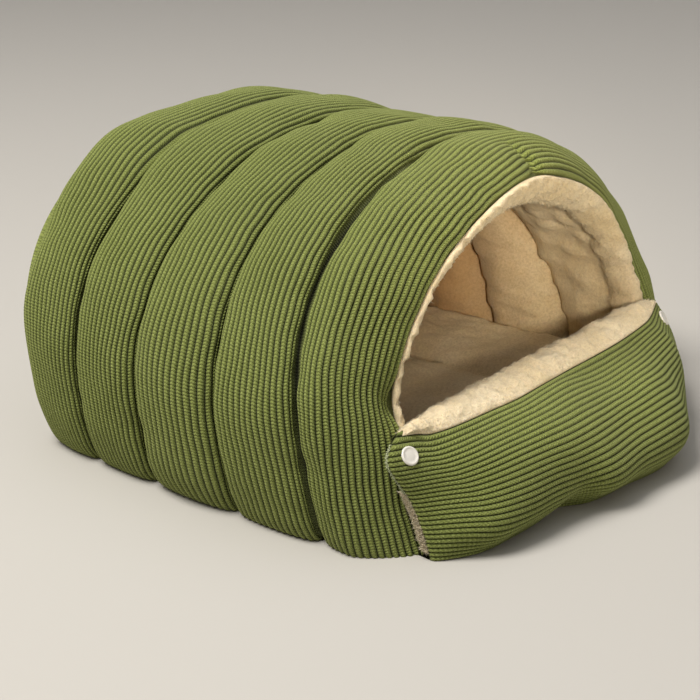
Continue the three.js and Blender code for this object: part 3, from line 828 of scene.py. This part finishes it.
def build_flap():
    places = np.append(rib_places(FLAP_RIBS, FLAP_RIB_POINTS), 1)
    across = np.linspace(-FLAP_END, FLAP_END, FLAP_ROWS_ACROSS)
    knots = ("contact", "belly", "brow", "seam")
    front = np.stack([section(place, knots, places) for place in across], 1)
    normals = grid_normals(front, len(places) // 2, FORWARD)
    rib = places[:, None] * FLAP_RIBS
    relief = np.abs(np.sin(math.pi * rib)) ** FLAP_RIB_ROUNDNESS
    to_edge = np.minimum(np.minimum(rib, FLAP_RIBS - rib) / 2, 1)
    to_end = np.clip((FLAP_END - np.abs(across)) / FLAP_END_WIDTH, 0, 1)
    swell = waves_over(front, FLAP_SWELL_WAVES) * to_edge * to_end
    drop = FLAP_END_DROP * (1 - np.sqrt(1 - (1 - to_end) ** 2))
    height = relief * FLAP_RIB_HEIGHT + swell - FLAP_SINK - drop
    shaped = front + normals * height[..., None]
    shaped[..., 2] += waves_over(front, FLAP_SWAY_WAVES) * to_edge
    shaped[..., 2] = np.maximum(shaped[..., 2], 0)
    back = []
    for place in across:
        top = section(place, CREST_KNOTS, np.linspace(0, 1, 9)[1:])
        x, y, z = floor_corner(place)
        floor = [(x, y, z), (x, FLOOR_BACK_Y, z), (x, FLOOR_BACK_Y, 0), (x, HEEL_Y, 0)]
        back.append(np.vstack([top, floor]))
    loops = np.concatenate([shaped, np.stack(back, 1)])
    marks = np.zeros(loops.shape)
    # Painted shade: the grooves of the flap's ribs get their darkening amount here.
    marks[:len(places)] = knit_and_groove_shade_map(rib, front[len(places) // 2, :, 0], (1 - relief) ** FLAP_GROOVE_SHADE)
    piece = new_piece("base_cover", loops.transpose(1, 0, 2), loop_faces(len(across), len(loops)),
                      KNIT, {"knit": marks.transpose(1, 0, 2)})
    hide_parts("base_panel")
    return shaped, normals, across


def build_base_plush():
    across = np.linspace(-PLUSH_END, PLUSH_END, PLUSH_ROWS_ACROSS)
    lines = []
    for place in across:
        top = section(place, CREST_KNOTS, np.linspace(0, 1, 25))
        corner = floor_corner(place)
        drop = mix(top[-1], corner, np.linspace(0, 1, 9)[1:, None])
        back = np.array([corner[0], FLOOR_BACK_Y, corner[2]])
        floor = mix(drop[-1], back, np.linspace(0, 1, 41)[1:, None])
        lines.append(np.vstack([top, drop, floor]))
    grid = np.stack(lines, 1)
    normals = grid_normals(grid, -1, UP)
    seat = grid + normals * GAP
    rows = np.arange(len(grid))[:, None]
    ends = np.minimum(rows / PLUSH_EDGE_ROWS, 1)
    sides = np.clip((PLUSH_END - np.abs(across)) / PLUSH_SIDE_WIDTH, PLUSH_SIDE, 1)
    from_seam = np.abs(np.abs(across) - FLOOR_SEAM_X)
    seam = FLOOR_SEAM_DEPTH * np.exp(-from_seam / FLOOR_SEAM_WIDTH)
    seam = seam * (rows >= len(grid) - FLOOR_SEAM_ROWS)
    thick = PLUSH_THICKNESS * mix(PLUSH_EDGE, 1, ends) * sides - seam
    thick = thick + waves_over(grid, FLOOR_WAVES) * ends * sides
    face = grid + normals * (GAP + np.maximum(thick, FLOOR_LEAST_PLUSH))[..., None]
    loops = np.concatenate([seat, face[::-1]])
    # Painted shade: the floor plush is darkened further back in the bed.
    inside = np.clip((face[..., 1] - FLOOR_SHADE_START_Y) / FLOOR_SHADE_LENGTH, 0, 1)
    marks = inside_shade_map(np.concatenate([inside, inside[::-1]]))
    piece = new_piece("base_plush", loops.transpose(1, 0, 2), sheet_faces(len(across), len(loops)),
                      PLUSH, {"depth": marks.transpose(1, 0, 2)})
    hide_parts("base_lining")
    return piece, face, normals


flap_front, flap_normals, flap_across = build_flap()
base_plush, base_face, base_normals = build_base_plush()


# Back panel and its plush

BACK_RIBS = 80
BACK_HALF_WIDTH = SEAMS[0].belly_x - 2.5
BACK_EDGE_RISE = 0.5
BACK_EDGE_DEPTH = 6
BACK_CROWN = 13
BACK_CROWN_FALL = 0.85
BACK_ROWS = 41
BACK_RIB_COLUMNS = 4
BACK_RIB_ROUNDNESS = 0.6
BACK_RIB_HEIGHT = 1.6
BACK_GROOVE_SHADE = 1.3
BACK_GROOVE_START = 14
BACK_LINING_EASE = 4
BACK_LINING_BULGE = 11
BACK_LINING_RINGS = 26
BACK_LINING_HUB = 0.04
BACK_LINING_CENTRE = 0.45
BACK_LINING_SHADE = 0.7


def back_spans(outline, x):
    """Lowest and highest point of the back outline at a place across it."""
    crossing = (outline[:-1, 0] - x) * (outline[1:, 0] - x) <= 0
    heights = [
        mix(a[2], b[2], (x - a[0]) / (b[0] - a[0]))
        for a, b in zip(outline[:-1][crossing], outline[1:][crossing]) if a[0] != b[0]
    ]
    low = 0 if abs(x) < SEAMS[0].foot_x else min(heights)
    return low, max(heights)


def back_point(x, depth, z):
    return np.array([x, SEAMS[0].foot_y + BACK_SLOPE * z + GAP + depth, z])


def build_back():
    outline = arch_of(outline_of(SEAMS[0]), SEAMS[0])
    columns = BACK_RIB_COLUMNS * BACK_RIBS + 1
    share = np.linspace(1, 0, BACK_ROWS)
    clear = np.clip((1 - share) * BACK_GROOVE_START, 0, 1)
    fullness = np.sqrt(np.maximum(np.sin(math.pi * share), 0))
    loops, marks = [], []
    for at, x in enumerate(np.linspace(-BACK_HALF_WIDTH, BACK_HALF_WIDTH, columns)):
        rib = at / BACK_RIB_COLUMNS
        relief = abs(math.sin(math.pi * rib)) ** BACK_RIB_ROUNDNESS
        low, high = back_spans(outline, x)
        crown = BACK_CROWN * (1 - BACK_CROWN_FALL * (x / BACK_HALF_WIDTH) ** 4)
        bottom = low - min(BACK_EDGE_RISE, low / 2)
        depth = BACK_EDGE_DEPTH + (relief - 0.5) * BACK_RIB_HEIGHT * clear + crown * fullness
        heights = mix(bottom, high, share)
        loop = [back_point(x, 0, bottom), back_point(x, 0, high),
                back_point(x, BACK_EDGE_DEPTH / 2, high + BACK_EDGE_RISE)]
        loop += [back_point(x, d, z) for d, z in zip(depth, heights)]
        loops.append(loop)
        # Painted shade: the grooves of the back's ribs get their darkening amount here, none at the
        # edge.
        groove_shade = (1 - relief) ** BACK_GROOVE_SHADE * np.append(np.zeros(3), clear)
        marks.append(knit_and_groove_shade_map(rib, np.array(loop)[:, 2], groove_shade))
    loops = np.array(loops)
    piece = new_piece("back_cover", loops, loop_faces(len(loops), loops.shape[1]), KNIT,
                      {"knit": np.array(marks)})
    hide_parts("back_panel")


def build_back_plush():
    opening = inner_outline(outline_of(INNER_SEAMS[0]), BACK_END_RISE)
    inset = opening - np.array([1, 1, 1, 0]) * (PLUSH_THICKNESS + BACK_LINING_EASE)
    edge = arch_of(inset, SEAMS[0])
    centre = np.array([0, 0, edge[:, 2].max() * BACK_LINING_CENTRE])
    rings = np.linspace(1, BACK_LINING_HUB, BACK_LINING_RINGS)[:, None]
    flat = mix(centre, edge, rings[..., None])
    flat[..., 1] = SEAMS[0].foot_y + BACK_SLOPE * flat[..., 2]
    bulge = BACK_LINING_BULGE * np.sqrt(1 - rings ** 4) + waves_over(flat, BACK_WAVES)
    seat, face = flat.copy(), flat.copy()
    seat[..., 1] -= bulge * (rings < 1)
    face[..., 1] -= PLUSH_THICKNESS + bulge * (rings < 1)
    for grid in (face, seat):
        grid[..., 2] = np.maximum(grid[..., 2], PLUSH_LIFT)
    loops = np.concatenate([seat[::-1], face])
    # Painted shade: the back plush gets an even share of the darkening deep in the bed.
    marks = inside_shade_map(np.full(loops.shape[:2], BACK_LINING_SHADE))
    piece = new_piece("back_plush", loops, loop_faces(len(loops), len(edge)), PLUSH,
                      {"depth": marks})
    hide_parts("back_lining")
    return piece


build_back()
back_plush = build_back_plush()

# Snap caps

SNAP_PROFILE = [
    (6.9, 0), (7.4, 0.3), (7.5, 0.8), (7.3, 1.4), (6.7, 1.9), (6.1, 2.0), (5.7, 1.85),
    (5.2, 1.55), (3.5, 1.75), (1.6, 1.85),
]
SNAP_TOP = 1.9
SNAP_SINK = 0.05
SNAP_PLACE = 190
SNAP_ROWS = 6
SNAP_POINTS = 64


def build_snap(name, node, place):
    """A cap that stands on the flap's ribs, at the row nearest its solid."""
    low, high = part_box(node)
    solid = np.array((low + high) / 2) / METRES - (0, ORIGIN_SHIFT_Y, 0)
    column = np.argmin(np.abs(flap_across - place))
    row = np.argmin(np.linalg.norm(flap_front[:, column] - solid, axis=1))
    outward = unit(flap_normals[row, column])
    ribs = flap_front[row - SNAP_ROWS:row + SNAP_ROWS + 1, column]
    base = ribs.mean(axis=0) - outward * SNAP_SINK
    side = unit(np.cross(outward, UP))
    up = np.cross(side, outward)
    turns = np.linspace(0, 2 * math.pi, SNAP_POINTS, endpoint=False)
    points = [base]
    for radius, height in SNAP_PROFILE:
        for turn in turns:
            spoke = math.cos(turn) * side + math.sin(turn) * up
            points.append(base + outward * height + radius * spoke)
    points.append(base + outward * SNAP_TOP)
    faces = []
    rings = len(SNAP_PROFILE)
    count = SNAP_POINTS
    for at in range(count):
        after = (at + 1) % count
        faces.append([0, 1 + after, 1 + at])
        for ring in range(rings - 1):
            start = 1 + ring * count
            faces.append([start + at, start + after, start + count + after, start + count + at])
        last = 1 + (rings - 1) * count
        faces.append([last + at, last + after, len(points) - 1])
    piece = new_piece(name, points, faces, SNAP)
    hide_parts(node)


build_snap("left_snap", "snap_cap_left", -SNAP_PLACE)
build_snap("right_snap", "snap_cap_right", SNAP_PLACE)

# Seam tail

TAIL_WIDTHS = [2.2, 2.6, 3.0, 2.6, 2.0, 2.6, 1.4]
TAIL_SECTION = [(-1, -0.8), (0, -1.0), (1, -0.8), (1, 0.8), (0, 1.0), (-1, 0.8)]
TAIL_HALF_THICKNESS = 0.8
TAIL_BEND = 0.7


def build_tail():
    """A short strip of seam cloth that bends as it rises."""
    low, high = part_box("seam_tail")
    low, high = (np.array(corner) / METRES - (0, ORIGIN_SHIFT_Y, 0) for corner in (low, high))
    centre = (low + high) / 2
    points = []
    for at, width in enumerate(TAIL_WIDTHS):
        share = at / (len(TAIL_WIDTHS) - 1)
        z = mix(low[2] + 0.1, high[2] - 0.2, share)
        bend = TAIL_BEND * math.sin(share * 4)
        for x, y in TAIL_SECTION:
            points.append((centre[0] + x * width + bend, centre[1] + y * TAIL_HALF_THICKNESS, z))
    # Painted shade: the tail gets a light, even share of the groove darkening.
    marks = [(0.5, point[2], 0.2) for point in points]
    faces = loop_faces(len(TAIL_WIDTHS), len(TAIL_SECTION), flip=True)
    piece = new_piece("tail_cloth", points, faces, KNIT, {"knit": np.array(marks)})
    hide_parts("seam_tail")


build_tail()

# Pile

FIBRE_SPREAD = 0.75
FIBRE_WIDTH = 0.28
FIBRE_ROOT = 0.5
FIBRE_FACES = np.array([[0, 2, 1], [0, 1, 3], [1, 2, 3], [2, 0, 3]])


def pile_along(name, roots, directions, stands_for, seed, length, finish):
    """Short tapering fibres that stand on a plush face and lean their own way."""
    draw = np.random.default_rng(seed)
    count = len(roots)
    lean = unit(directions + FIBRE_SPREAD * draw.normal(size=(count, 3)))
    side = unit(np.cross(lean, draw.normal(size=(count, 3))))
    other = np.cross(lean, side)
    reach = length * draw.uniform(0.5, 1.25, (count, 1))
    width = FIBRE_WIDTH * draw.uniform(0.7, 1.3, (count, 1))
    start = roots - lean * FIBRE_ROOT
    corners = [start + width * side, start - width * (0.5 * side - 0.87 * other),
               start - width * (0.5 * side + 0.87 * other), start + lean * reach]
    faces = (4 * np.arange(count)[:, None, None] + FIBRE_FACES).reshape(-1, 3).tolist()
    piece = new_piece(name, np.stack(corners, 1), faces, finish)
    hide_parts(stands_for)


def random_places(grid, normals, rows, columns, count, seed):
    """Places anywhere on a part of a grid, with the way out of it there."""
    draw = np.random.default_rng(seed)
    row = draw.uniform(rows[0], rows[1] - 1.001, count)
    column = draw.uniform(columns[0], columns[1] - 1.001, count)
    r, c = row.astype(int), column.astype(int)
    fr, fc = (row - r)[:, None], (column - c)[:, None]
    left = mix(grid[r, c], grid[r + 1, c], fr)
    right = mix(grid[r, c + 1], grid[r + 1, c + 1], fr)
    return mix(left, right, fc), normals[r, c]


def edge_roots(low_z, high_z, count, seed, inset):
    """Places down the free edge of the tab, a little way in from it."""
    draw = np.random.default_rng(seed)
    edge = flap_front[:, 0]
    heights = draw.uniform(low_z, high_z, count)
    order = np.argsort(edge[:, 2])
    roots = np.stack([np.interp(heights, edge[order, 2], edge[order, axis]) for axis in range(3)], -1)
    roots[:, 1] += inset * draw.uniform(0, 1, count)
    return roots


roots, ways = random_places(
    tunnel_face, tunnel_normals, (0, lip_rows + 6), (8, ARCH_ROWS - 8), count=9000, seed=61)
pile_along("rim_pile", roots, ways, "tunnel_lining", 62, 3.0, PILE)
roots, ways = random_places(
    base_face, base_normals, (0, 26), (2, PLUSH_ROWS_ACROSS - 2), count=5000, seed=63)
pile_along("crest_pile", roots, ways, "base_lining", 64, 2.6, PILE)

FRAY_WAY = np.array([[-0.7, -0.5, -0.1]])
roots = edge_roots(42, 90, count=420, seed=71, inset=2.0)
pile_along("tab_fray", roots, FRAY_WAY, "base_panel", 72, 2.4, FRAY)
roots = edge_roots(6, 54, count=1500, seed=73, inset=6.5)
pile_along("slit_pile", roots, FRAY_WAY, "base_lining", 74, 3.4, PILE)

# Floor, light and camera

FLOOR_RADIUS = 5.0
COVE_RADIUS = 2.5
STAGE_TOP = 9.0


def build_stage():
    """A wide round floor that rises into a wall all round."""
    cove = np.linspace(0, math.pi / 2, 9)[1:]
    radii = [0.0, 2.0, FLOOR_RADIUS] + [FLOOR_RADIUS + COVE_RADIUS * math.sin(a) for a in cove]
    radii.append(FLOOR_RADIUS + COVE_RADIUS)
    heights = [0.0, 0.0, 0.0] + [COVE_RADIUS - COVE_RADIUS * math.cos(a) for a in cove]
    heights.append(STAGE_TOP)
    count = 96
    turns = np.linspace(0, 2 * math.pi, count, endpoint=False)
    points = [(0, 0, 0)]
    for radius, height in zip(radii[1:], heights[1:]):
        points += [(radius * math.cos(turn), radius * math.sin(turn), height) for turn in turns]
    faces = [[0, 1 + at, 1 + (at + 1) % count] for at in range(count)]
    for ring in range(len(radii) - 2):
        start = 1 + ring * count
        for at in range(count):
            after = (at + 1) % count
            faces.append([start + at, start + count + at, start + count + after, start + after])
    floor_mesh = bpy.data.meshes.new("studio_floor")
    floor_mesh.from_pydata(points, [], faces)
    floor_mesh.shade_smooth()
    floor = bpy.data.objects.new("studio_floor", floor_mesh)
    bpy.context.scene.collection.objects.link(floor)
    finish = Finish("studio_paper", Roughness=0.9, Base_Color=(*colour("bdb9b2"), 1))
    floor_mesh.materials.append(finish.material)


def build_lamp(name, kind, place, aim, watts, warmth, **settings):
    lamp = bpy.data.lights.new(name, kind)
    lamp.energy = watts
    lamp.color = warmth
    for setting, value in settings.items():
        setattr(lamp, setting, value)
    holder = bpy.data.objects.new(name, lamp)
    holder.location = place
    x, y, z = np.array(aim) - np.array(place)
    holder.rotation_euler = (math.atan2(math.hypot(x, y), -z), 0, math.atan2(-x, y))
    bpy.context.scene.collection.objects.link(holder)


build_stage()
build_lamp("key_lamp", "AREA", (-1.4, 0.5, 2.75), (0, 0, 0.1), 105, (1.0, 0.97, 0.92),
           shape="DISK", size=1.5)
build_lamp("front_fill", "AREA", (-0.6, -2.6, 1.6), (0, -0.1, 0.1), 3, (1.0, 0.98, 0.95),
           shape="DISK", size=2.2)
build_lamp("entrance_lamp", "SPOT", (-1.35, -1.25, 0.72), (0.17, -0.03, 0.15), 120, (1.0, 0.86, 0.66),
           spot_size=math.radians(12), spot_blend=1.0, shadow_soft_size=0.12)

world = bpy.data.worlds.new("soft_room")
world.use_nodes = True
background = world.node_tree.nodes["Background"]
background.inputs["Color"].default_value = (0.95, 0.96, 1.0, 1)
background.inputs["Strength"].default_value = 0.75
bpy.context.scene.world = world
bpy.context.scene.view_settings.view_transform = "Standard"

camera_data = bpy.data.cameras.new("camera")
camera_data.lens = 82.29
camera_data.sensor_width = 36
camera = bpy.data.objects.new("camera", camera_data)
camera.location = (-1.0752, -0.7669 + ORIGIN_SHIFT_Y * METRES, 0.5775)
camera.rotation_euler = (math.radians(68.9), 0, math.radians(-52))
bpy.context.scene.collection.objects.link(camera)
bpy.context.scene.camera = camera
